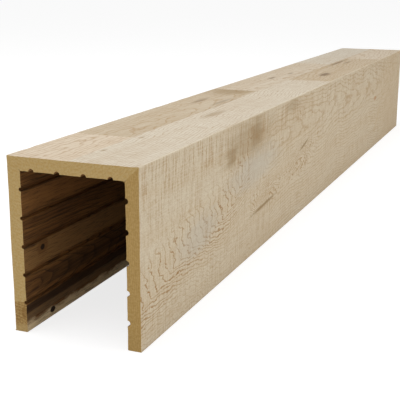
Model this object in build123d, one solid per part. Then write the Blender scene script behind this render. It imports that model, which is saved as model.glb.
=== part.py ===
from build123d import *
import math
import os

# A hollow box beam lying open side down: a top board and two side boards of dressed oak,
# mitred along the two upper long corners. The backs of the boards carry the lengthwise
# relief grooves of the stock that they were sawn from.
# Frame: X across the beam, Y along it from the near end to the far end, Z up.
# The origin is on the floor, under the middle of the beam. All sizes are in millimetres.

# Overall sizes
beam_length = 1828.8
beam_width = 184.15
beam_height = 234.95
board_thickness = 19.05

# Edges: the long outer arrises are eased, the open lower edges a little less
arris_radius = 1.6
lower_edge_radius = 0.9

# Mitres: the heel of each joint gapes a little, and glue rounds the right inner corner
heel_gap_depth = 4.5
heel_gap_mouth = 0.9
left_corner_round = 0.6
right_corner_round = 3.4
corner_reach = 6.0

# Relief grooves, measured from the inner corner at the top or at the left
side_groove_width = 5.2
side_groove_depth = 3.2
left_groove_start = 24.0
left_groove_pitch = 37.7
wide_groove_width = 8.0
wide_groove_depth = 3.9
right_groove_start = 24.5
right_groove_pitch = 38.9
top_groove_start = 16.0
top_groove_pitch = 36.9
groove_land_min = 11.0

# The top board is glued up from two rows of staves, butted end to end
left_row_width = 90.0
left_row_first_stave = 172.0
left_row_second_stave = 546.0
left_row_last_stave = 529.0
right_row_second_stave = 553.0
right_row_last_stave = 344.0

half_width = beam_width / 2
inner_left = board_thickness - half_width
inner_right = half_width - board_thickness
inner_top = beam_height - board_thickness


def groove_offsets(start, pitch, width, room):
    """Distances of the grooves from the inner corner, as many as the board's back takes."""
    last = room - groove_land_min - width / 2
    count = int((last - start) // pitch) + 1
    return [start + pitch * index for index in range(max(count, 1))]


left_grooves = [
    inner_top - offset
    for offset in groove_offsets(left_groove_start, left_groove_pitch, side_groove_width, inner_top)
]
right_grooves = [
    inner_top - offset
    for offset in groove_offsets(right_groove_start, right_groove_pitch, wide_groove_width, inner_top)
]
top_grooves = [
    inner_left + offset
    for offset in groove_offsets(
        top_groove_start, top_groove_pitch, wide_groove_width, inner_right - inner_left
    )
]

# The left side board is glued up too: its lower strip starts in the middle of the last groove
left_strip_height = left_grooves[-1]


def groove_cutter(width, depth):
    """A round-nosed cutter as wide as the groove's mouth when it is sunk to the groove's depth."""
    radius = (width**2 / 4 + depth**2) / (2 * depth)
    sink = depth - radius
    return Circle(radius), sink


def cut_grooves(section):
    """Cut the relief grooves of all three boards into the section."""
    narrow, narrow_sink = groove_cutter(side_groove_width, side_groove_depth)
    wide, wide_sink = groove_cutter(wide_groove_width, wide_groove_depth)
    for height in left_grooves:
        section -= Pos(inner_left - narrow_sink, height) * narrow
    for height in right_grooves:
        section -= Pos(inner_right + wide_sink, height) * wide
    for across in top_grooves:
        section -= Pos(across, inner_top + wide_sink) * wide
    return section


def heel_gap(side):
    """The open heel of a mitre, a thin wedge on the joint's diagonal; side is -1 left, +1 right."""
    reach = corner_reach / math.sqrt(2)
    depth = heel_gap_depth / math.sqrt(2)
    spread = heel_gap_mouth * (1 + corner_reach / heel_gap_depth) / 2 / math.sqrt(2)
    corner = (side * inner_right, inner_top)
    tip = (corner[0] + side * depth, corner[1] + depth)
    mouth = (corner[0] - side * reach, corner[1] - reach)
    return Polygon(
        tip,
        (mouth[0] - side * spread, mouth[1] + spread),
        (mouth[0] + side * spread, mouth[1] - spread),
        align=None,
    )


def beam_section():
    """The whole section across the beam: three walls, eased edges, grooves and mitre heels."""
    outer = Pos(0, beam_height / 2) * Rectangle(beam_width, beam_height)
    hollow = Pos(0, inner_top / 2) * Rectangle(inner_right - inner_left, inner_top)
    section = outer - hollow

    def corner(across, height):
        return section.vertices().sort_by_distance((across, height, 0))[0]

    section = fillet([corner(-half_width, beam_height), corner(half_width, beam_height)], arris_radius)
    section = fillet(corner(inner_right, inner_top), right_corner_round)
    section = fillet(corner(inner_left, inner_top), left_corner_round)
    for across in (-half_width, inner_left, inner_right, half_width):
        section = fillet(corner(across, 0), lower_edge_radius)
    section = cut_grooves(section)
    return section - heel_gap(-1) - heel_gap(1)


# Cutting the section along its joints
mitre_reach = board_thickness + corner_reach


def top_region():
    """What the two mitres leave to the top board."""
    return Polygon(
        (-half_width, beam_height),
        (mitre_reach - half_width, beam_height - mitre_reach),
        (half_width - mitre_reach, beam_height - mitre_reach),
        (half_width, beam_height),
        align=None,
    )


def side_region(side):
    """What a mitre leaves to a side board; side is -1 left, +1 right."""
    return Polygon(
        (side * half_width, beam_height),
        (side * (half_width - mitre_reach), beam_height - mitre_reach),
        (side * (half_width - mitre_reach), 0),
        (side * half_width, 0),
        align=None,
    )


def band(low, high, bottom, top):
    """An upright rectangle of the section between two places across and two heights."""
    return Pos((low + high) / 2, (bottom + top) / 2) * Rectangle(high - low, top - bottom)


def carry(profile, start, end):
    """Carry a piece's section along the beam between two distances from the near end."""
    plane = Plane.XZ.offset(beam_length / 2 - start)
    return extrude(plane * profile, -(end - start))


def stave_joints(*lengths_from_near, from_far):
    """Distances of a row's ends and butt joints from the near end; one stave makes up the length."""
    joints = [0]
    for length in lengths_from_near:
        joints.append(joints[-1] + length)
    tail = [beam_length]
    for length in from_far:
        tail.insert(0, tail[0] - length)
    return joints + tail


def top_staves(row_name, profile, joints):
    """The staves of one row of the top board, numbered from the near end."""
    pairs = zip(joints, joints[1:])
    return {f"{row_name}_{index}": carry(profile, *ends) for index, ends in enumerate(pairs, start=1)}


section = beam_section()
row_joint = left_row_width - half_width

top_profile = section & top_region()
left_row_profile = top_profile & band(-half_width, row_joint, 0, beam_height)
right_row_profile = top_profile & band(row_joint, half_width, 0, beam_height)

left_profile = section & side_region(-1)
left_board_profile = left_profile & band(-half_width, 0, left_strip_height, beam_height)
left_strip_profile = left_profile & band(-half_width, 0, 0, left_strip_height)
right_profile = section & side_region(1)

pieces = {
    "left_side_board": carry(left_board_profile, 0, beam_length),
    "left_side_edge_strip": carry(left_strip_profile, 0, beam_length),
    "right_side_board": carry(right_profile, 0, beam_length),
}
pieces |= top_staves(
    "top_left_stave",
    left_row_profile,
    stave_joints(left_row_first_stave, left_row_second_stave, from_far=[left_row_last_stave]),
)
pieces |= top_staves(
    "top_right_stave",
    right_row_profile,
    stave_joints(from_far=[right_row_last_stave, right_row_second_stave]),
)

os.makedirs("parts", exist_ok=True)
for name, piece in pieces.items():
    export_step(piece, f"parts/{name}.step")
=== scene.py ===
import math

import bpy
import numpy as np
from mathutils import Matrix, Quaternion, Vector


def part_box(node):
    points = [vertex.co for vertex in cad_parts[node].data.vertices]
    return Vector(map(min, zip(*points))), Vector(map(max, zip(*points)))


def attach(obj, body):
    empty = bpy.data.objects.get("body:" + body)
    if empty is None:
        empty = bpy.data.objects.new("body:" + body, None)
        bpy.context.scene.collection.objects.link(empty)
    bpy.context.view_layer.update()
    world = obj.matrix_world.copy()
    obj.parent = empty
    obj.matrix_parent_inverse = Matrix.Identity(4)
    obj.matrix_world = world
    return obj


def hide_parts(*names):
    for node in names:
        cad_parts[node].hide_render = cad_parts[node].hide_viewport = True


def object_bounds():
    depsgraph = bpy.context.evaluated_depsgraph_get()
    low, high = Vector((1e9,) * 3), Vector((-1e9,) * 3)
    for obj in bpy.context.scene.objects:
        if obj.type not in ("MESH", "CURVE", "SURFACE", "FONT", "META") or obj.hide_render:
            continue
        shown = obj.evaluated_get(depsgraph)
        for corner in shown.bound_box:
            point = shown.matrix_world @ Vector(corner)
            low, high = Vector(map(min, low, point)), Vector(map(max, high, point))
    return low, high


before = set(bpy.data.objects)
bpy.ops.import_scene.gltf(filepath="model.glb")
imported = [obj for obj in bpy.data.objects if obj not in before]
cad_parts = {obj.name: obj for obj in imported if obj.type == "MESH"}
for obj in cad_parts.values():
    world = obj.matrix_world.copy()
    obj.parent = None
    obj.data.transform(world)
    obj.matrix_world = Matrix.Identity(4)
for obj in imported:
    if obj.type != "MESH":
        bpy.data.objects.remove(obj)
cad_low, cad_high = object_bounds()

# A hollow oak box beam, lying open side down. Places in the scene are in metres, in the frame:
# X across the beam, Y along it with the near end at the low end, Z up from the floor.
# Places on a board are in millimetres: "along" from the near end, "down" from the mitred corner
# along the board's face, and "deep" behind that face.

# Sizes from the frame
MM = 0.001
LENGTH = (cad_high.y - cad_low.y) / MM
WIDTH = (cad_high.x - cad_low.x) / MM
HEIGHT = cad_high.z / MM
strip_low, strip_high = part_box("left_side_edge_strip")
BOARD = (strip_high.x - strip_low.x) / MM
STRIP_JOINT = HEIGHT - strip_high.z / MM
ROW_JOINT = (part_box("top_left_stave_1")[1].x - cad_low.x) / MM


def tone(red, green, blue):
    """A display colour, 0 to 255, as the linear colour that a shader takes."""
    share = [value / 255 for value in (red, green, blue)]
    return [c / 12.92 if c <= 0.04045 else ((c + 0.055) / 1.055) ** 2.4 for c in share] + [1.0]


# Camera, at the photograph's viewing angle
CAMERA_PLACE = (0.5271, -1.7963, 0.4501)
CAMERA_TARGET = (-0.2025, 0.0, -0.0532)
CAMERA_ROLL = math.radians(0.22)
CAMERA_LENS = 77.34
CAMERA_FILM = 36
CAMERA_RANGE = (0.05, 100)


def facing(place, target):
    """The turn that points a camera or a lamp from its place to a target."""
    return (Vector(target) - Vector(place)).to_track_quat("-Z", "Y")


def stand_camera():
    """The camera at its place, turned to its target and rolled a little."""
    data = bpy.data.cameras.new("camera")
    data.lens = CAMERA_LENS
    data.sensor_width = CAMERA_FILM
    data.clip_start, data.clip_end = CAMERA_RANGE
    camera = bpy.data.objects.new("camera", data)
    camera.location = CAMERA_PLACE
    camera.rotation_mode = "QUATERNION"
    camera.rotation_quaternion = facing(CAMERA_PLACE, CAMERA_TARGET) @ Quaternion((0, 0, 1), CAMERA_ROLL)
    bpy.context.collection.objects.link(camera)
    bpy.context.scene.camera = camera


def hang_light(name, place, target, size, watts):
    """A soft square lamp at a place, turned towards a target."""
    data = bpy.data.lights.new(name, "AREA")
    data.shape = "SQUARE"
    data.size = size
    data.energy = watts
    lamp = bpy.data.objects.new(name, data)
    lamp.location = place
    lamp.rotation_mode = "QUATERNION"
    lamp.rotation_quaternion = facing(place, target)
    bpy.context.collection.objects.link(lamp)


stand_camera()
hang_light("key", place=(-0.7, -0.9, 3.2), target=(0, 0.1, 0.1), size=2.6, watts=62)
hang_light("fill", place=(3.4, -0.2, 1.2), target=(0, 0.3, 0.1), size=2.6, watts=29)
hang_light("front", place=(1.0, -3.8, 0.3), target=(-0.1, -0.7, 0.1), size=1.0, watts=15)


class Nodes:
    """A node tree under construction. Each method adds nodes and gives their result."""

    def __init__(self, tree):
        self.tree = tree

    def feed(self, socket, value):
        """Link an output to a socket, or set the socket's own value."""
        if isinstance(value, bpy.types.NodeSocket):
            self.tree.links.new(value, socket)
        else:
            socket.default_value = value

    def add(self, kind, values=(), **settings):
        """A node with its settings. The values of its inputs are a list, or go by number or name."""
        node = self.tree.nodes.new(kind)
        for name, value in settings.items():
            setattr(node, name, value)
        pairs = values.items() if isinstance(values, dict) else enumerate(values)
        for key, value in pairs:
            self.feed(node.inputs[key], value)
        return node

    def math(self, operation, *values):
        return self.add("ShaderNodeMath", values, operation=operation).outputs[0]

    def chain(self, operation, values):
        """Several values joined two by two, from the first on."""
        total = values[0]
        for value in values[1:]:
            total = self.math(operation, total, value)
        return total

    def plus(self, *values):
        return self.chain("ADD", values)

    def times(self, *values):
        return self.chain("MULTIPLY", values)

    def minus(self, first, second):
        return self.math("SUBTRACT", first, second)

    def over(self, first, second):
        return self.math("DIVIDE", first, second)

    def sway(self, noise, reach):
        """Noise from 0 to 1 as a shift to either side: the noise less a half, times the reach."""
        return self.times(self.minus(noise, 0.5), reach)

    def split(self, vector):
        return self.add("ShaderNodeSeparateXYZ", [vector]).outputs

    def join(self, x, y, z):
        return self.add("ShaderNodeCombineXYZ", [x, y, z]).outputs[0]

    def vector_math(self, operation, *values):
        return self.add("ShaderNodeVectorMath", values, operation=operation).outputs

    def scaled(self, vector, factors):
        """A vector times three factors."""
        return self.vector_math("MULTIPLY", vector, factors)[0]

    def noise(self, vector, detail=2.0, roughness=0.5):
        """Noise from 0 to 1 that changes about once for each step of the vector."""
        values = {"Vector": vector, "Scale": 1.0, "Detail": detail, "Roughness": roughness}
        return self.add("ShaderNodeTexNoise", values).outputs[0]

    def ease(self, value, start, stop, low=0.0, high=1.0):
        """A smooth step: low before start, high after stop."""
        values = [value, start, stop, low, high]
        return self.add("ShaderNodeMapRange", values, interpolation_type="SMOOTHSTEP").outputs[0]

    def mix(self, factor, first, second):
        """Two values mixed by a factor, with the Mix node's value sockets given by number."""
        return self.add("ShaderNodeMix", {0: factor, 2: first, 3: second}).outputs[0]

    def blend(self, factor, first, second):
        """Two colours mixed by a factor, with the Mix node's colour sockets given by number."""
        return self.add("ShaderNodeMix", {0: factor, 6: first, 7: second}, data_type="RGBA").outputs[2]

    def effect(self, tree, **values):
        """A shared node group, with its inputs given by name and its outputs as the result."""
        values = {name.replace("_", " "): value for name, value in values.items()}
        return self.add("ShaderNodeGroup", values, node_tree=tree).outputs


def make_effect(name, inputs, outputs, build):
    """A shader node group from a build function, which takes the inputs and gives the outputs.

    The inputs come with their usual values. Three numbers make a vector, and one makes a value.
    """
    tree = bpy.data.node_groups.new(name, "ShaderNodeTree")
    for label, value in inputs.items():
        kind = "NodeSocketVector" if isinstance(value, tuple) else "NodeSocketFloat"
        socket = tree.interface.new_socket(label, in_out="INPUT", socket_type=kind)
        socket.default_value = value
    for label in outputs:
        tree.interface.new_socket(label, in_out="OUTPUT", socket_type="NodeSocketFloat")
    nodes = Nodes(tree)
    start = nodes.add("NodeGroupInput")
    results = build(nodes, *[start.outputs[label] for label in inputs])
    end = nodes.add("NodeGroupOutput")
    for label, result in zip(outputs, results):
        nodes.feed(end.inputs[label], result)
    return tree


# How fast the patterns of the oak change along, down and into a board, per millimetre. The bend
# of the pith changes along the board only, and a saw line changes down the board only.
LONG_GRAIN = (0.012, 0.35, 0.35)
END_GRAIN = (0.5, 1.1, 1.1)
RING_SWAY_GRAIN = (0.02, 0.06, 0.06)
HOOK_SWAY_GRAIN = (0.028, 0.06, 0.06)
PATCH_EDGE_GRAIN = (0.03, 0.11, 0.11)
GRIT_GRAIN = (0.3, 0.5, 0.5)
PITH_BEND_GRAIN = 0.0035
SAW_LINE_GRAIN = 0.018

# Lengths and widths of the streaks in the oak, in millimetres
BROAD_STREAK = (420.0, 26.0)
FINE_STREAK = (60.0, 2.2)
LINE_BREAK = (12.0, 2.2)
PORE = (7.0, 0.8)

# Effects that the oak materials share. Their Board input is along, down and deep in millimetres
ORIGIN = (0, 0, 0)
PITH_BEND = 70.0
RAGGED_LINE = 0.22
LINE_RISE = 0.94


def build_streaks(nodes, board, length, width, seed):
    """Noise drawn out along the board."""
    along, down, deep = nodes.split(board)
    along = nodes.plus(nodes.over(along, length), seed)
    down = nodes.plus(nodes.over(down, width), seed)
    place = nodes.join(along, down, nodes.over(deep, width))
    return [nodes.noise(place, detail=3.0, roughness=0.6)]


STREAKS = make_effect(
    "lengthwise_streaks",
    {"Board": ORIGIN, "Length": 160.0, "Width": 6.0, "Seed": 0.0},
    ["Value"],
    build_streaks,
)


def streaks(nodes, board, size, seed):
    """The shared streaks, with the length and width of a streak."""
    length, width = size
    return nodes.effect(STREAKS, Board=board, Length=length, Width=width, Seed=seed)["Value"]


def build_cathedral(nodes, board, pith_down, pith_deep, taper, spacing, wander, seed):
    """Growth rings: the distance from a pith line that bends and isn't parallel to the face.

    The ring is the root of (down less the pith's place) squared plus (depth behind the pith)
    squared, over the spacing, and it sways by the wander.
    """
    along, down, deep = nodes.split(board)
    place = nodes.join(nodes.plus(nodes.times(along, PITH_BEND_GRAIN), seed), seed, 0.0)
    bend = nodes.sway(nodes.noise(place, detail=1.0), PITH_BEND)
    side = nodes.minus(nodes.minus(down, pith_down), bend)
    back = nodes.plus(deep, pith_deep, nodes.times(along, taper))
    squares = nodes.plus(nodes.times(side, side), nodes.times(back, back))
    ring = nodes.over(nodes.math("SQRT", squares), spacing)
    parts = nodes.split(nodes.scaled(board, RING_SWAY_GRAIN))
    rough = nodes.noise(nodes.join(*[nodes.plus(part, seed) for part in parts]))
    return [nodes.plus(ring, nodes.sway(rough, wander))]


CATHEDRAL = make_effect(
    "cathedral_rings",
    {
        "Board": ORIGIN,
        "Pith Down": 60.0,
        "Pith Deep": 30.0,
        "Taper": 0.05,
        "Spacing": 5.0,
        "Wander": 1.5,
        "Seed": 0.0,
    },
    ["Ring"],
    build_cathedral,
)


def build_ring_lines(nodes, board, ring, line_width, seed):
    """Each growth ring starts with a thin dark line of open pores and pales towards the next."""
    rough = streaks(nodes, board, LINE_BREAK, seed)
    phase = nodes.math("FRACT", nodes.plus(ring, nodes.sway(rough, RAGGED_LINE)))
    fall = nodes.ease(phase, 0.0, line_width, low=1.0, high=0.0)
    rise = nodes.ease(phase, LINE_RISE, 1.0)
    broken = nodes.ease(rough, 0.25, 0.5)
    line = nodes.times(nodes.math("MAXIMUM", fall, rise), broken)
    return [line, nodes.minus(1.0, phase)]


RING_LINES = make_effect(
    "ring_lines",
    {"Board": ORIGIN, "Ring": 0.0, "Line Width": 0.3, "Seed": 0.0},
    ["Line", "Band"],
    build_ring_lines,
)


def build_saw_marks(nodes, board, pitch, slant, seed):
    """Uneven lines across the board, left by a coarse saw."""
    along, down, deep = nodes.split(board)
    along = nodes.plus(along, nodes.times(nodes.plus(down, deep), slant))
    place = nodes.join(nodes.over(along, pitch), nodes.times(down, SAW_LINE_GRAIN), seed)
    return [nodes.ease(nodes.noise(place, roughness=0.65), 0.47, 0.64)]


SAW_MARKS = make_effect(
    "saw_marks",
    {"Board": ORIGIN, "Pitch": 4.0, "Slant": 0.05, "Seed": 0.0},
    ["Mark"],
    build_saw_marks,
)


def build_pores(nodes, board, seed):
    """Short open pores, drawn out along the grain."""
    return [nodes.ease(streaks(nodes, board, PORE, seed), 0.56, 0.72)]


PORES = make_effect("open_pores", {"Board": ORIGIN, "Seed": 0.0}, ["Mask"], build_pores)


def build_patch(nodes, board, centre, size, tilt, ragged, soft):
    """A soft oval patch with a ragged edge; tilt is how far it climbs for each step along."""
    along, down, deep = nodes.split(nodes.vector_math("SUBTRACT", board, centre)[0])
    place = nodes.join(along, nodes.plus(down, nodes.times(along, tilt)), deep)
    share = nodes.vector_math("DIVIDE", place, size)[0]
    radius = nodes.vector_math("LENGTH", share)["Value"]
    rough = nodes.noise(nodes.scaled(board, PATCH_EDGE_GRAIN), detail=3.0, roughness=0.6)
    radius = nodes.plus(radius, nodes.sway(rough, ragged))
    return [nodes.ease(radius, 1.0, nodes.minus(1.0, soft))]


PATCH = make_effect(
    "soft_patch",
    {
        "Board": ORIGIN,
        "Centre": ORIGIN,
        "Size": (50, 20, 40),
        "Tilt": 0.0,
        "Ragged": 0.8,
        "Soft": 0.8,
    },
    ["Mask"],
    build_patch,
)


def board_vector(nodes, face):
    """Object coordinates as along, down and deep, in millimetres, for a face of the beam.

    The top board is laid out as one, with down measured from the left face across both rows.
    """
    coordinates = nodes.add("ShaderNodeTexCoord").outputs["Object"]
    x, y, z = nodes.split(nodes.scaled(coordinates, (1 / MM, 1 / MM, 1 / MM)))
    along = nodes.plus(y, LENGTH / 2)
    below_top = nodes.minus(HEIGHT, z)
    if face == "right":
        return nodes.join(along, below_top, nodes.minus(WIDTH / 2, x))
    from_left = nodes.plus(x, WIDTH / 2)
    if face == "left":
        return nodes.join(along, below_top, from_left)
    return nodes.join(along, from_left, below_top)


# The right board's figure. Steep growth lines above turn into level ones below, in hooks. The
# level lines dip round one place and climb from another on. Further along a flame of rings takes
# over, with two eyes in it: each has a middle, half sizes and its number of rings.
STEEP_APART = 21.0
STEEP_LEAN = -0.022
STEEP_START = 3.5
LEVEL_APART = 5.1
LEVEL_DOWN = 181.0
LEVEL_SWAY = 1.6
HOOK_SWAY = 2.4
HOOK_ROUND = 0.7
DIP_ALONG, DIP_LENGTH, DIP_DEPTH = 290.0, 110.0, 27.0
CLIMB_ALONG, CLIMB_SLOPE = 300.0, 0.05
FLAME_START, FLAME_FULL = 400.0, 520.0
FLAME_PLAINNESS = 0.42
EYES = [((500, 148, 0), (120, 34, 60), 5.0), ((700, 124, 0), (150, 40, 60), 7.0)]
STEEP_LINE, LEVEL_LINE, CATHEDRAL_LINE = 0.17, 0.34, 0.3
RINGS_INTO_BOARD = 0.12


def hooked_rings(nodes, board):
    """The ring of the hooked lines, and how many rings a place lies above the hooks.

    The steep rings count up along the board and the level ones up its face. The ring is the
    lesser of the two, rounded where they cross. The dip is a bell curve.
    """
    along, down, _ = nodes.split(board)
    sway = nodes.sway(nodes.noise(nodes.scaled(board, HOOK_SWAY_GRAIN), detail=3.0), HOOK_SWAY)
    lean = nodes.times(down, STEEP_LEAN)
    steep = nodes.plus(nodes.times(along, 1 / STEEP_APART), lean, STEEP_START, sway)
    centred = nodes.times(nodes.minus(along, DIP_ALONG), 1 / DIP_LENGTH)
    bell = nodes.math("EXPONENT", nodes.times(centred, centred, -1.0))
    climb = nodes.math("MAXIMUM", nodes.minus(along, CLIMB_ALONG), 0.0)
    line = nodes.plus(nodes.times(bell, DIP_DEPTH), LEVEL_DOWN, nodes.times(climb, -CLIMB_SLOPE))
    level = nodes.times(nodes.minus(line, down), 1 / LEVEL_APART)
    level = nodes.plus(level, nodes.times(sway, LEVEL_SWAY))
    return nodes.math("SMOOTH_MIN", steep, level, HOOK_ROUND), nodes.minus(level, steep)


def side_rings(nodes, board):
    """The right board's ring, the width of its line and how plainly it shows.

    The hooked lines are plain near the hooks and fade above and below them.
    """
    along, _, deep = nodes.split(board)
    ring, above = hooked_rings(nodes, board)
    fade_above = nodes.ease(above, 4.0, 13.0, low=1.0, high=0.15)
    fade_below = nodes.ease(above, -9.0, -2.0, low=0.3, high=1.0)
    plain = nodes.times(fade_above, fade_below)
    width = nodes.ease(above, -0.5, 0.8, low=LEVEL_LINE, high=STEEP_LINE)
    flame = nodes.effect(
        CATHEDRAL, Board=board, Pith_Down=62.0, Pith_Deep=9.0, Taper=0.045, Spacing=5.4, Wander=2.0, Seed=9.0
    )
    far = nodes.ease(along, FLAME_START, FLAME_FULL)
    ring = nodes.mix(far, ring, flame["Ring"])
    plain = nodes.mix(far, plain, FLAME_PLAINNESS)
    for centre, size, count in EYES:
        eye = nodes.effect(
            PATCH, Board=board, Centre=centre, Size=size, Tilt=0.08, Ragged=0.4, Soft=1.0
        )["Mask"]
        ring = nodes.plus(ring, nodes.times(eye, count))
        plain = nodes.math("MAXIMUM", plain, nodes.ease(eye, 0.0, 0.4, high=0.9))
    return nodes.plus(ring, nodes.times(deep, RINGS_INTO_BOARD)), width, plain


def cathedral(**values):
    """A figure from the shared growth rings, with one board's own values, plain all over."""
    return lambda nodes, board: (
        nodes.effect(CATHEDRAL, Board=board, **values)["Ring"], CATHEDRAL_LINE, 1.0
    )


# Oak materials
FACE_PALE = tone(216, 204, 180)
FACE_TAN = tone(202, 180, 146)
FACE_LINE = tone(160, 119, 64)
FACE_BROWN = tone(150, 124, 84)
FACE_GREY = tone(196, 189, 174)
FACE_RUBBED = tone(226, 214, 190)
FACE_GRIT = tone(178, 150, 110)

SAW_PITCH, SAW_SLANT = 4.2, 0.04
PORE_STRENGTH = 0.22
RUB_START, RUB_END, RUB_RAGGED, RUB_STRENGTH = 1.5, 5.0, 4.0, 0.7
FACE_STAIN_SOFT, BACK_TINT_SOFT = 0.8, 0.35
FACE_GLOSS, BACK_GLOSS = 0.3, 0.25

# Reliefs of the materials: their depths in millimetres, and each mark's share of the depth
FACE_BUMP, BACK_BUMP = 0.6, 0.5
PORE_RISE, SAW_RISE, RING_RISE, STREAK_RISE, SPECK_RISE = -0.5, -0.8, -0.35, 0.5, 0.5

# How much coarser and finer the blotches and specks of a back are than its grain
BLOTCH_SHARE = (0.3, 0.3, 0.3)
SPECK_SHARE = (3.7, 3.1, 3.1)


def start_oak(name, face):
    """A new material with its nodes, its shader and the board's place under each point."""
    material = bpy.data.materials.new(name)
    material.use_nodes = True
    nodes = Nodes(material.node_tree)
    return material, nodes, material.node_tree.nodes["Principled BSDF"], board_vector(nodes, face)


def tinted(nodes, board, colour, tint_patches, soft):
    """A colour with patches laid over it, one after another: stains, and on the left board's back also
    painted light and shade.
    """
    for centre, size, tilt, tint_tone, strength in tint_patches:
        mask = nodes.effect(PATCH, Board=board, Centre=centre, Size=size, Tilt=tilt, Soft=soft)["Mask"]
        colour = nodes.blend(nodes.times(mask, strength), colour, tint_tone)
    return colour


def feed_shader(nodes, bsdf, colour, roughness, gloss, relief, bump):
    """The shader's colour, roughness, gloss and relief. bump is the relief's strength, and also
    its depth in millimetres."""
    nodes.feed(bsdf.inputs["Base Color"], colour)
    nodes.feed(bsdf.inputs["Roughness"], roughness)
    bsdf.inputs["Specular IOR Level"].default_value = gloss
    height = nodes.add("ShaderNodeBump", {"Height": relief, "Strength": bump, "Distance": bump * MM})
    nodes.feed(bsdf.inputs["Normal"], height.outputs[0])


def from_arris(nodes, board, face):
    """Distance along a face from its nearest mitred arris; the top has one at each side."""
    _, down, _ = nodes.split(board)
    if face != "top":
        return down
    centred = nodes.math("ABSOLUTE", nodes.minus(down, WIDTH / 2))
    return nodes.minus(WIDTH / 2, centred)


def oak_face(
    name,
    face,
    ring,
    figure,
    saw,
    seed,
    pale=FACE_PALE,
    tan=FACE_TAN,
    grit_tone=FACE_TAN,
    streaky=0.8,
    saw_fade=None,
    tint_patches=(),
):
    """Dry, unfinished oak as sawn: streaks, figure, grit, stains, pores, saw lines, rubbed arrises.

    figure, saw and streaky say how strongly each shows. Saw lines fade to about half over the
    stretch down the face that saw_fade gives.
    """
    material, nodes, bsdf, board = start_oak(name, face)
    ring_value, line_width, plain = ring(nodes, board)
    rings = nodes.effect(RING_LINES, Board=board, Ring=ring_value, Line_Width=line_width, Seed=seed)
    broad = streaks(nodes, board, BROAD_STREAK, seed + 3.0)
    fine = streaks(nodes, board, FINE_STREAK, seed + 7.0)
    pores = nodes.effect(PORES, Board=board, Seed=seed)["Mask"]
    marks = nodes.effect(SAW_MARKS, Board=board, Pitch=SAW_PITCH, Slant=SAW_SLANT, Seed=seed)["Mark"]
    grit = nodes.noise(nodes.scaled(board, GRIT_GRAIN), detail=3.0, roughness=0.7)

    colour = nodes.blend(nodes.ease(broad, 0.3, 0.75, low=0.1, high=streaky), pale, tan)
    colour = nodes.blend(nodes.times(rings["Band"], plain, 0.25 * figure), colour, tan)
    colour = nodes.blend(nodes.ease(fine, 0.45, 0.8, high=0.45), colour, tan)
    colour = nodes.blend(nodes.ease(grit, 0.42, 0.68, high=0.4), colour, grit_tone)
    figured = nodes.times(rings["Line"], plain, figure)
    colour = nodes.blend(figured, colour, FACE_LINE)
    colour = tinted(nodes, board, colour, tint_patches, FACE_STAIN_SOFT)
    colour = nodes.blend(nodes.times(pores, PORE_STRENGTH), colour, FACE_LINE)

    dotted = nodes.ease(fine, 0.35, 0.6, low=0.45, high=1.0)
    mark = nodes.times(marks, dotted, saw)
    if saw_fade:
        _, down, _ = nodes.split(board)
        mark = nodes.times(mark, nodes.ease(down, *saw_fade, low=1.0, high=0.55))
    colour = nodes.blend(mark, colour, FACE_LINE)
    inwards = nodes.plus(from_arris(nodes, board, face), nodes.times(broad, RUB_RAGGED))
    rubbed = nodes.ease(inwards, RUB_START, RUB_END, low=RUB_STRENGTH, high=0.0)
    colour = nodes.blend(rubbed, colour, FACE_RUBBED)

    relief = nodes.plus(
        nodes.times(pores, PORE_RISE),
        nodes.times(mark, SAW_RISE),
        nodes.times(figured, RING_RISE),
        nodes.times(fine, STREAK_RISE),
    )
    roughness = nodes.ease(fine, 0.2, 0.8, low=0.62, high=0.82)
    feed_shader(nodes, bsdf, colour, roughness, FACE_GLOSS, relief, FACE_BUMP)
    return material


def plain_oak(name, tones, grain, stretch, roughness=0.85, ring=None, figure=0.0, tint_patches=()):
    """Backs, edges and end sections: two tones with a dark grain, growth rings and stains, and on the left
    board's back painted light and shade.

    All boards are laid out from the left face. grain says how strongly the dark tone shows.
    """
    material, nodes, bsdf, board = start_oak(name, "left")
    first, second, dark = tones
    place = nodes.scaled(board, stretch)
    blotch = nodes.noise(nodes.scaled(place, BLOTCH_SHARE))
    fine = nodes.noise(place, detail=4.0, roughness=0.65)
    speck = nodes.noise(nodes.scaled(place, SPECK_SHARE), detail=4.0, roughness=0.6)
    colour = nodes.blend(nodes.ease(blotch, 0.35, 0.65), first, second)
    colour = nodes.blend(nodes.ease(fine, 0.48, 0.72, high=grain), colour, dark)
    if ring:
        ring_value, line_width, _ = ring(nodes, board)
        rings = nodes.effect(RING_LINES, Board=board, Ring=ring_value, Line_Width=line_width)
        shade = nodes.plus(nodes.times(rings["Line"], 0.6), nodes.times(rings["Band"], 0.4))
        colour = nodes.blend(nodes.times(shade, figure), colour, dark)
    colour = tinted(nodes, board, colour, tint_patches, BACK_TINT_SOFT)
    colour = nodes.blend(nodes.ease(speck, 0.52, 0.66, high=grain * 0.75), colour, dark)
    relief = nodes.plus(fine, nodes.times(speck, SPECK_RISE))
    roughness = nodes.ease(fine, 0.2, 0.8, low=roughness - 0.1, high=roughness + 0.1)
    feed_shader(nodes, bsdf, colour, roughness, BACK_GLOSS, relief, BACK_BUMP)
    return material


def tint_patch(along, down, length, height, tint_tone, strength, tilt=0.0, deep=0, reach=60):
    """A patch of colour on a board: its middle, its half sizes, its tilt, its colour and its strength. Most
    patches are stains; on the left board's back some are painted light and shade.

    Places and half sizes are in millimetres, and reach is the half size into the board.
    """
    return (along, down, deep), (length, height, reach), tilt, tint_tone, strength


BACK_PALE = tone(176, 134, 86)
BACK_BROWN = tone(138, 95, 48)
BACK_DARK = tone(112, 74, 36)
BACK_BLACK = tone(44, 28, 14)
BACK_SAPWOOD = tone(236, 212, 168)
SECTION_TAN = tone(190, 164, 112)
SECTION_GOLD = tone(184, 153, 96)
SECTION_OCHRE = tone(172, 140, 82)
SECTION_BROWN = tone(152, 120, 70)
SECTION_DARK = tone(128, 92, 44)

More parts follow.
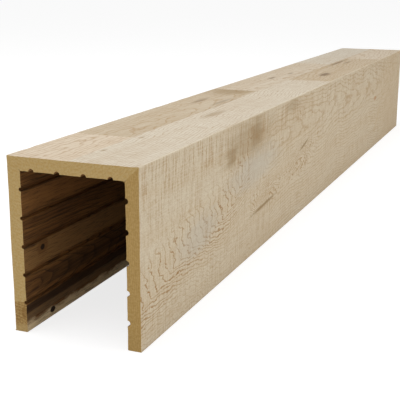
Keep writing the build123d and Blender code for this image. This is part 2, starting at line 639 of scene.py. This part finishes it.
# The right face: brown stain, grey patches, a small knot, tan wood further along, and two checks
SIDE_STAINS = [
    tint_patch(400, 34, 170, 48, FACE_BROWN, 0.45, tilt=0.02),
    tint_patch(318, 50, 30, 26, FACE_BROWN, 0.6, tilt=0.05),
    tint_patch(436, 30, 40, 36, FACE_BROWN, 0.5, tilt=0.05),
    tint_patch(430, 88, 190, 40, FACE_GREY, 0.55, tilt=0.03),
    tint_patch(190, 135, 110, 40, FACE_GREY, 0.5, tilt=0.1),
    tint_patch(645, 13, 70, 18, FACE_BROWN, 0.4),
    tint_patch(1447, 101, 28, 8, tone(176, 118, 60), 0.7),
    tint_patch(1495, 158, 60, 22, FACE_TAN, 0.7, tilt=0.9),
    tint_patch(1720, 110, 330, 260, FACE_TAN, 0.6),
    tint_patch(480, 163, 92, 4.5, FACE_BROWN, 0.9, tilt=0.06),
    tint_patch(735, 102, 42, 4.0, FACE_BROWN, 0.9, tilt=0.22),
]

# The left board's back: lengthwise bands, a knot, a dark seam, the sapwood and a dark mark in it.
# Painted light and shade: the band 137 mm down is paler near the open end and darker further in,
# and the dark seam below the last groove is a painted shadow.
BACK_TINT_DEEP = 19
LEFT_BACK_STAINS_AND_PAINTED_LIGHT_AND_SHADE = [
    tint_patch(*values, deep=BACK_TINT_DEEP)
    for values in [
        (500, 62, 1500, 17, tone(156, 108, 58), 0.5),
        # Painted light: this band is paler near the open end
        (100, 137, 500, 18, tone(164, 124, 74), 0.55),
        # Painted shade: the same band is darker further in from the open end
        (900, 137, 500, 18, BACK_DARK, 0.5),
        (180, 176, 190, 17, BACK_BLACK, 0.45),
        (44, 131, 16, 13, BACK_DARK, 0.6),
        (44, 131, 6, 5, BACK_BLACK, 1.0),
        # Painted shadow: a near-black seam below the last groove, all along the board
        (600, 204, 1900, 8, BACK_BLACK, 0.8),
        (500, 214, 900, 7, tone(120, 98, 68), 0.6),
        (300, 243, 1500, 24, BACK_SAPWOOD, 0.9),
        (63, 226, 7, 5, BACK_BLACK, 1.0),
    ]
]

# The strip's end sections, alike at both ends: paler at the foot and darker below the groove
STRIP_SECTION_STAINS = [
    tint_patch(LENGTH / 2, 242, 9000, 20, SECTION_TAN, 0.5, deep=10),
    tint_patch(LENGTH / 2, 208, 9000, 10, SECTION_DARK, 0.5, deep=15, reach=5),
]

FINISHES = {
    "right_face": oak_face(
        "oak_right_face", "right", side_rings, figure=1.0, saw=0.55, seed=1.0,
        grit_tone=FACE_GRIT, streaky=0.45, saw_fade=(40, 90), tint_patches=SIDE_STAINS,
    ),
    "left_face": oak_face(
        "oak_left_face", "left",
        cathedral(Pith_Down=120.0, Pith_Deep=24.0, Taper=0.06, Spacing=6.0, Seed=4.0),
        figure=0.6, saw=0.45, seed=2.0, saw_fade=(60, 140),
    ),
    "back": plain_oak(
        "oak_back", (BACK_PALE, BACK_BROWN, BACK_DARK), 0.8, LONG_GRAIN,
        ring=cathedral(Pith_Down=120.0, Pith_Deep=10.0, Taper=0.09, Spacing=7.0, Seed=6.0), figure=0.5,
    ),
    "left_back": plain_oak(
        "oak_left_back", (BACK_BROWN, BACK_DARK, BACK_BLACK), 0.8, LONG_GRAIN,
        ring=cathedral(Pith_Down=176.0, Pith_Deep=-8.0, Taper=0.13, Spacing=5.0, Seed=8.0), figure=0.7,
        tint_patches=LEFT_BACK_STAINS_AND_PAINTED_LIGHT_AND_SHADE,
    ),
    "section": plain_oak(
        "oak_end_section", (SECTION_TAN, SECTION_GOLD, SECTION_DARK), 0.28, END_GRAIN,
        ring=cathedral(Pith_Down=-90.0, Pith_Deep=-60.0, Taper=0.0, Spacing=4.0), figure=0.2,
    ),
    "right_section": plain_oak(
        "oak_right_end_section", (SECTION_GOLD, SECTION_OCHRE, SECTION_DARK), 0.25, END_GRAIN,
        ring=cathedral(Pith_Down=120.0, Pith_Deep=500.0, Taper=0.0, Spacing=2.6), figure=0.4,
    ),
    "strip_section": plain_oak(
        "oak_strip_end_section", (SECTION_BROWN, SECTION_GOLD, SECTION_DARK), 0.4, END_GRAIN,
        ring=cathedral(Pith_Down=258.0, Pith_Deep=2.0, Taper=0.0, Spacing=4.4), figure=0.9,
        tint_patches=STRIP_SECTION_STAINS,
    ),
    "edge": plain_oak(
        "oak_sawn_edge", (SECTION_TAN, FACE_TAN, SECTION_DARK), 0.4, LONG_GRAIN, roughness=0.8
    ),
}

# The pale and the tan tone of each stave's face
STAVE_TONES = {
    "top_left_stave_1": (tone(221, 207, 186), tone(211, 193, 168)),
    "top_left_stave_2": (tone(207, 193, 170), tone(192, 173, 144)),
    "top_left_stave_3": (tone(214, 202, 182), tone(202, 185, 160)),
    "top_left_stave_4": (tone(218, 211, 196), tone(208, 196, 176)),
    "top_right_stave_1": (tone(219, 210, 192), tone(208, 194, 172)),
    "top_right_stave_2": (tone(206, 191, 167), tone(190, 169, 138)),
    "top_right_stave_3": (tone(217, 205, 186), tone(206, 189, 164)),
}

KNOT = tone(104, 80, 54)
STAVE_STAINS = {
    "top_left_stave_2": [
        tint_patch(545, 38, 60, 9, KNOT, 0.45),
        tint_patch(552, 80, 70, 8, KNOT, 0.35),
        tint_patch(700, 45, 90, 60, FACE_BROWN, 0.6),
    ],
    "top_left_stave_3": [
        tint_patch(945, 48, 34, 8, KNOT, 0.6),
        tint_patch(1050, 60, 26, 6, KNOT, 0.5),
    ],
    "top_right_stave_1": [
        tint_patch(75, 97, 10, 4, FACE_BROWN, 0.6),
        tint_patch(175, 102, 12, 4, FACE_BROWN, 0.5),
        tint_patch(410, 118, 60, 14, FACE_BROWN, 0.45),
    ],
    "top_right_stave_2": [
        tint_patch(1065, 137, 50, 15, KNOT, 0.75),
        tint_patch(1350, 100, 130, 8, KNOT, 0.6),
        tint_patch(1370, 120, 60, 6, KNOT, 0.5),
    ],
}

# Each stave's growth rings have their pith in another place
for index, (stave, (pale, tan)) in enumerate(STAVE_TONES.items()):
    pith_down = 40.0 + 25.0 * (index % 4)
    pith_deep = 18.0 + 9.0 * (index % 3)
    FINISHES[stave] = oak_face(
        "oak_" + stave,
        "top",
        cathedral(
            Pith_Down=pith_down, Pith_Deep=pith_deep, Taper=0.05, Spacing=5.0, Wander=2.2, Seed=11.0 + index
        ),
        figure=0.5,
        saw=0.25,
        seed=5.0 + index,
        pale=pale,
        tan=tan,
        grit_tone=tan,
        tint_patches=STAVE_STAINS.get(stave, ()),
    )


# Random numbers along each side of the noise's table
NOISE_CELLS = 128

# Reliefs of the boards: half their depth, and their reach along and down a board, in millimetres.
# The patches are no depth, but the share of the saw lines that shows.
HOLLOWS = (0.35, 130, 55)
RIPPLE = (0.12, 38, 22)
SAW_PATCHES = (0.5, 90, 40)
SAW_LINES = (0.11, SAW_PITCH, 60)
SAW_LINES_SLANT = 0.042
RIDGES = (0.18, 220, 6.5)
TORN_GRAIN = (0.08, 25, 4)

# Wear of the long arrises and of the sawn ends, in millimetres
WEAR_DEPTH, WEAR_SWING, WEAR_REACH = 0.12, 0.1, 60
DENT_DEPTH, DENT_LEVEL, DENT_REACH = 0.7, 0.45, 14
END_DEPTH, END_SWING, END_REACH, END_FADE = 0.28, 0.12, 9, 0.5
END_SHARE_AT_ARRIS = 0.8


def smooth_noise(first, second, seed):
    """Value noise from -1 to 1: random numbers at whole places, joined by smooth steps.

    A share s of the way between two whole places counts as s squared times (3 less 2 s).
    """
    table = np.random.default_rng(seed).uniform(-1, 1, (NOISE_CELLS, NOISE_CELLS))
    whole = [np.floor(value).astype(int) for value in (first, second)]
    share = [value - cell for value, cell in zip((first, second), whole)]
    s, t = [value * value * (3 - 2 * value) for value in share]
    i, j = [cell % (NOISE_CELLS - 1) for cell in whole]
    near = table[i, j] * (1 - t) + table[i, j + 1] * t
    far = table[i + 1, j] * (1 - t) + table[i + 1, j + 1] * t
    return near * (1 - s) + far * s


def uneven(along, down, relief, seed):
    """A relief from 0 to its full depth: half the depth times (1 plus noise)."""
    half_depth, reach_along, reach_down = relief
    return half_depth * (1 + smooth_noise(along / reach_along, down / reach_down, seed))


def face_relief(along, down, seed):
    """Depth of a sawn face below its highest places, in millimetres, at least 0.

    It is the sum of broad hollows, a finer ripple, and saw lines that come and go.
    """
    hollows = uneven(along, down, HOLLOWS, seed)
    ripple = uneven(along, down, RIPPLE, seed + 1)
    patches = uneven(along, down, SAW_PATCHES, seed + 2)
    saw_lines = uneven(along + SAW_LINES_SLANT * down, down, SAW_LINES, seed + 3)
    return hollows + ripple + patches * saw_lines


def back_relief(along, down, seed):
    """Depth of a rough back between its grooves, in millimetres: long ridges and torn grain."""
    return uneven(along, down, RIDGES, seed) + uneven(along, down, TORN_GRAIN, seed + 1)


def arris_wear(along, seed):
    """How far a long arris is rubbed back, in millimetres: a little all along, and small dents.

    A dent is where its noise rises over a level.
    """
    rubbed = WEAR_DEPTH + WEAR_SWING * smooth_noise(along / WEAR_REACH, 0 * along, seed + 1)
    dents = np.maximum(smooth_noise(along / DENT_REACH, 0 * along, seed) - DENT_LEVEL, 0)
    return rubbed + DENT_DEPTH * dents


def end_wear(from_end, down, seed):
    """How far a face is rubbed back at a sawn end, in millimetres: uneven, and dying away fast."""
    at_end = END_DEPTH + END_SWING * smooth_noise(down / END_REACH, 0 * down, seed)
    return at_end * np.exp(-from_end / END_FADE)


# Outlines of the boards. A row holds down, deep, step down, step deep, the weights of the face
# relief, the arris wear and the back relief, and the zone, which picks the material.
FACE, BACK, EDGE, SECTION = range(4)
ARRIS = 1.6
LOWER_EDGE = 0.9
HEEL_DEPTH = 4.5
HEEL_MOUTH = 0.9
LEFT_CORNER, RIGHT_CORNER = 0.6, 3.4
LEAST_ROUND = 1.5
NARROW_GROOVE = (5.2, 3.2)
WIDE_GROOVE = (8.0, 3.9)
DIAGONAL = 1 / math.sqrt(2)
FACE_SPACING, BACK_SPACING = 4.8, 5.5
ARC_POINTS, GROOVE_POINTS = 4, 7
FACE_FADE, WEAR_FADE, LAND_FADE = 7.0, 1.5, 2.0


def spread(start, stop, spacing):
    """Evenly spaced values from start up to, but without, stop."""
    count = max(round(abs(stop - start) / spacing), 1)
    return np.linspace(start, stop, count, endpoint=False)


def rows(down, deep, zone, step=(0, 0), face=0.0, wear=0.0, back=0.0):
    """Outline points with their zone, the step that the reliefs move them by and their weights."""
    columns = [down, deep, *step, face, wear, back, zone]
    return np.column_stack(np.broadcast_arrays(*[np.atleast_1d(column) for column in columns]))


def face_rows(start, stop):
    """The outer face from its free edge up to the arris, where the relief dies away."""
    down = spread(start, stop, FACE_SPACING)
    near = np.clip((down - stop) / FACE_FADE, 0, 1)
    return rows(down, 0.0, FACE, (0, 1), face=near, wear=np.exp(-(down - stop) / WEAR_FADE))


def arris_rows():
    """The eased arris, an eighth of a circle from the face to the mitre."""
    angle = np.linspace(0, math.pi / 4, ARC_POINTS)
    down, deep = ARRIS * (1 - np.sin(angle)), ARRIS * (1 - np.cos(angle))
    return rows(down, deep, FACE, (np.sin(angle), np.cos(angle)), wear=1.0)


def heel_rows(corner_round):
    """The mitre down to its open heel, and the rounded inner corner.

    The mitre runs on the diagonal to the tip of the gap, then to the gap's mouth, half a mouth
    beside the diagonal. The round is an arc from there to the back. The mouth takes an angle off
    it, worked out for a round of at least LEAST_ROUND.
    """
    tip = BOARD - HEEL_DEPTH * DIAGONAL
    corner = BOARD + corner_round * (1 - DIAGONAL)
    gap = HEEL_MOUTH / 2 * DIAGONAL
    first = math.pi / 4 - gap / max(corner_round, LEAST_ROUND)
    angle = np.linspace(first, 0, ARC_POINTS)
    centre = BOARD + corner_round
    down = centre - corner_round * np.sin(angle)
    deep = centre - corner_round * np.cos(angle)
    return np.vstack([
        rows(tip, tip, EDGE),
        rows(max(corner + gap, down[0]), min(corner - gap, deep[0]), EDGE),
        rows(down[1:], deep[1:], BACK),
    ])


def groove_rows(centre, size, first=-1.0, last=1.0):
    """A round groove, or the part of it between two shares of its half opening.

    It is an arc of the circle that has the groove's width as its chord and its depth as its rise.
    """
    width, depth = size
    radius = (width**2 / 4 + depth**2) / (2 * depth)
    opening = math.acos((radius - depth) / radius)
    angle = np.linspace(first, last, GROOVE_POINTS if first * last < 0 else ARC_POINTS) * opening
    down = centre + radius * np.sin(angle)
    deep = BOARD - depth + radius - radius * np.cos(angle)
    return rows(down, deep, BACK)


def land_rows(start, stop):
    """A flat stretch of the back, with its roughness dying away at the grooves beside it."""
    down = spread(start, stop, BACK_SPACING)[1:]
    near = np.clip(np.minimum(down - start, stop - down) / LAND_FADE, 0, 1)
    return rows(down, BOARD, BACK, (0, -1), back=near)


def back_rows(start, stop, grooves, size):
    """The back from the inner corner to the free edge, which may cut its last groove in half."""
    parts = []
    half = size[0] / 2
    for centre in grooves:
        parts.append(land_rows(start, min(centre - half, stop)))
        if centre + half > stop:
            parts.append(groove_rows(centre, size, -1.0, 0.0))
            return np.vstack(parts)
        parts.append(groove_rows(centre, size))
        start = centre + half
    parts.append(land_rows(start, stop))
    return np.vstack(parts)


def free_edge_rows(down):
    """The open lower edge: two corners eased by quarter circles, and a flat between them."""
    angle = np.linspace(0, math.pi / 2, ARC_POINTS)
    sine_part, cosine_part = LOWER_EDGE * (1 - np.sin(angle)), LOWER_EDGE * (1 - np.cos(angle))
    return np.vstack([
        rows(down - sine_part, BOARD - cosine_part, EDGE),
        rows(down, BOARD * np.array([0.75, 0.5, 0.25]), EDGE),
        rows(down - cosine_part, sine_part, EDGE),
    ])


def mitred_outline(free, grooves, size, corner_round, glued):
    """The section of a board with one mitred edge. Its other edge lies at free, square where it
    is glued and eased where it is open."""
    flat_end = free if glued else free - LOWER_EDGE
    parts = [
        face_rows(flat_end, ARRIS),
        arris_rows(),
        heel_rows(corner_round),
        back_rows(BOARD + corner_round, flat_end, grooves, size),
    ]
    if not glued:
        parts.append(free_edge_rows(free))
    elif not any(abs(centre - free) < size[0] for centre in grooves):
        parts.append(rows(free, BOARD, BACK))
    return np.vstack(parts)


def strip_outline(joint, free, size):
    """The left board's lower strip: square at its glue joint, half a groove, and the free edge."""
    face = np.append(spread(free - LOWER_EDGE, joint, FACE_SPACING), joint)
    return np.vstack([
        rows(face, 0.0, FACE, (0, 1), face=1.0),
        groove_rows(joint, size, 0.0, 1.0),
        land_rows(joint + size[0] / 2, free - LOWER_EDGE),
        free_edge_rows(free),
    ])


# Making a board from its outline
STEP = 2.6
END_PLACES = np.array([0.0, 0.5, 1.4])
END_STRETCH = 3.2
SHARP_ANGLE = math.radians(30)


def stations(start, stop):
    """Places along a board: close together at its ends, then evenly spaced."""
    count = max(int((stop - start) / STEP), 2)
    middle = np.linspace(start + END_STRETCH, stop - END_STRETCH, count)
    return np.concatenate([start + END_PLACES, middle, (stop - END_PLACES)[::-1]])


def carried_points(outline, start, stop, to_section, seed, wear_seed, sunk):
    """An outline carried along the beam and moved inward, one row of points for each station.

    A point lies at its outline place plus its step times the depth there: the face relief, the
    arris wear and the back relief, each times the point's weight. to_section gives x and z.
    """
    down, deep, step_down, step_deep, face, wear, back, _ = outline.T
    along = stations(start, stop)[:, None]
    ends = end_wear(np.minimum(along - start, stop - along), down, seed + 8)
    depth = face * (face_relief(along, down, seed) + sunk + ends)
    depth = depth + wear * (arris_wear(along, wear_seed) + END_SHARE_AT_ARRIS * ends)
    depth = depth + back * back_relief(along, down, seed + 5)
    x, z = to_section(down + step_down * depth, deep + step_deep * depth)
    y = np.broadcast_to(along - LENGTH / 2, x.shape)
    return np.stack([x, y, z], axis=-1) * MM


def closed_mesh(name, points, zones):
    """A closed mesh on rows of points: quads between neighbouring rows, and one face at each end.

    The rows run anticlockwise in x and z, so that all faces point outwards. A quad takes the
    lower zone of its two outline points.
    """
    x, z = points[0, :, 0], points[0, :, 2]
    if np.sum(x * np.roll(z, -1) - np.roll(x, -1) * z) < 0:
        points, zones = points[:, ::-1], zones[::-1]
    lengths, count, _ = points.shape
    index = np.arange(lengths * count).reshape(lengths, count)
    after = np.roll(index, -1, axis=1)
    sides = np.stack([index[:-1], index[1:], after[1:], after[:-1]], axis=-1).reshape(-1, 4)
    corners = np.concatenate([sides.ravel(), index[0], index[-1][::-1]])
    totals = np.concatenate([np.full(len(sides), 4), [count, count]])
    quad_zones = np.tile(np.minimum(zones, np.roll(zones, -1)), lengths - 1)
    slots = np.concatenate([quad_zones, [SECTION, SECTION]]).astype(np.int32)

    mesh = bpy.data.meshes.new(name)
    mesh.vertices.add(lengths * count)
    mesh.vertices.foreach_set("co", points.ravel())
    mesh.loops.add(len(corners))
    mesh.loops.foreach_set("vertex_index", corners)
    mesh.polygons.add(len(totals))
    mesh.polygons.foreach_set("loop_start", np.cumsum(totals) - totals)
    mesh.polygons.foreach_set("loop_total", totals)
    mesh.polygons.foreach_set("material_index", slots)
    return mesh


def node_span(node):
    """Where a node starts and ends along the beam, from the near end."""
    low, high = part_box(node)
    return low.y / MM + LENGTH / 2, high.y / MM + LENGTH / 2


def dress(node, outline, to_section, materials, seed, wear_seed, sunk=0.0):
    """A dressed board that stands for a node's plain solid and moves with the beam.

    sunk is how far its whole face lies deeper than the reliefs put it, in millimetres.
    """
    name = "dressed_" + node
    points = carried_points(outline, *node_span(node), to_section, seed, wear_seed, sunk)
    mesh = closed_mesh(name, points, outline[:, -1])
    for material in materials:
        mesh.materials.append(material)
    mesh.update(calc_edges=True)
    mesh.validate()
    mesh.shade_smooth()
    mesh.set_sharp_from_angle(angle=SHARP_ANGLE)
    piece = bpy.data.objects.new(name, mesh)
    bpy.context.collection.objects.link(piece)
    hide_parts(node)
    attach(piece, "root")


# Where a board's down and deep lie across the beam, as x and z
def right_section(down, deep):
    return WIDTH / 2 - deep, HEIGHT - down


def left_section(down, deep):
    return deep - WIDTH / 2, HEIGHT - down


def top_left_section(down, deep):
    return down - WIDTH / 2, HEIGHT - deep


def top_right_section(down, deep):
    return WIDTH / 2 - down, HEIGHT - deep


def groove_places(start, pitch, count):
    """How far down a board its grooves lie; start is measured from the inner corner."""
    return BOARD + start + pitch * np.arange(count)


def finishes(face, back="back", section="section"):
    """A board's materials, in the order of the zones."""
    return [FINISHES[key] for key in (face, back, "edge", section)]


# The boards. Two boards that meet at an arris share its wear, and the left boards share a relief
RIGHT_GROOVES = groove_places(start=24.5, pitch=38.9, count=5)
LEFT_GROOVES = groove_places(start=24.0, pitch=37.7, count=5)
TOP_GROOVES = groove_places(start=16.0, pitch=36.9, count=4)
RIGHT_WEAR, LEFT_WEAR = 60, 70
RIGHT_SEED, LEFT_SEED, LEFT_ROW_SEED, RIGHT_ROW_SEED = 20, 30, 40, 50
STRIP_SUNK = 0.08
STAVE_SUNK = 0.06

dress(
    "right_side_board",
    mitred_outline(HEIGHT, RIGHT_GROOVES, WIDE_GROOVE, RIGHT_CORNER, glued=False),
    right_section,
    finishes("right_face", section="right_section"),
    RIGHT_SEED,
    RIGHT_WEAR,
)
dress(
    "left_side_board",
    mitred_outline(STRIP_JOINT, LEFT_GROOVES, NARROW_GROOVE, LEFT_CORNER, glued=True),
    left_section,
    finishes("left_face", "left_back"),
    LEFT_SEED,
    LEFT_WEAR,
)
dress(
    "left_side_edge_strip",
    strip_outline(STRIP_JOINT, HEIGHT, NARROW_GROOVE),
    left_section,
    finishes("left_face", "left_back", "strip_section"),
    LEFT_SEED,
    LEFT_WEAR,
    STRIP_SUNK,
)

left_row_grooves = [groove for groove in TOP_GROOVES if groove < ROW_JOINT]
right_row_grooves = [WIDTH - groove for groove in TOP_GROOVES[::-1] if groove > ROW_JOINT]
LEFT_ROW = (
    mitred_outline(ROW_JOINT, left_row_grooves, WIDE_GROOVE, LEFT_CORNER, glued=True),
    top_left_section,
    LEFT_ROW_SEED,
    LEFT_WEAR,
)
RIGHT_ROW = (
    mitred_outline(WIDTH - ROW_JOINT, right_row_grooves, WIDE_GROOVE, RIGHT_CORNER, glued=True),
    top_right_section,
    RIGHT_ROW_SEED,
    RIGHT_WEAR,
)
for index, stave in enumerate(STAVE_TONES):
    outline, to_section, seed, wear_seed = LEFT_ROW if "left" in stave else RIGHT_ROW
    dress(stave, outline, to_section, finishes(stave), seed, wear_seed, STAVE_SUNK * (index % 3))


# White surroundings and a pale floor, both brighter to the camera than as light on the beam
WHITE = (1, 1, 1, 1)
WORLD_LIGHT, WORLD_SEEN = 0.5, 1.0
FLOOR_HALF = 30.0
FLOOR_SINK = 0.0002
FLOOR_TONE = (0.86, 0.86, 0.86, 1)
FLOOR_GLOW, FLOOR_GLOW_SHARE = 1.3, 0.6


def light_studio():
    """A white world, half as bright on the beam as it looks to the camera."""
    world = bpy.data.worlds.new("studio")
    world.use_nodes = True
    nodes = Nodes(world.node_tree)
    white = world.node_tree.nodes["Background"]
    white.inputs["Color"].default_value = WHITE
    seen = nodes.add("ShaderNodeLightPath").outputs["Is Camera Ray"]
    nodes.feed(white.inputs["Strength"], nodes.ease(seen, 0.0, 1.0, WORLD_LIGHT, WORLD_SEEN))
    bpy.context.scene.world = world
    bpy.context.scene.view_settings.view_transform = "Standard"


def pale_floor():
    """A matt material that glows a little to the camera only."""
    material = bpy.data.materials.new("pale_floor")
    material.use_nodes = True
    material.node_tree.nodes.clear()
    nodes = Nodes(material.node_tree)
    matte = nodes.add("ShaderNodeBsdfDiffuse", {"Color": FLOOR_TONE}).outputs[0]
    glow = nodes.add("ShaderNodeEmission", {"Color": WHITE, "Strength": FLOOR_GLOW}).outputs[0]
    seen = nodes.add("ShaderNodeLightPath").outputs["Is Camera Ray"]
    share = nodes.times(seen, FLOOR_GLOW_SHARE)
    mixed = nodes.add("ShaderNodeMixShader", [share, matte, glow]).outputs[0]
    nodes.add("ShaderNodeOutputMaterial", [mixed])
    return material


def lay_floor():
    """A plain square floor just under the beam."""
    low, high = -FLOOR_HALF, FLOOR_HALF
    mesh = bpy.data.meshes.new("floor")
    mesh.from_pydata([(low, low, 0), (high, low, 0), (high, high, 0), (low, high, 0)], [], [(0, 1, 2, 3)])
    mesh.materials.append(pale_floor())
    floor = bpy.data.objects.new("floor", mesh)
    floor.location.z = -FLOOR_SINK
    bpy.context.collection.objects.link(floor)


light_studio()
lay_floor()
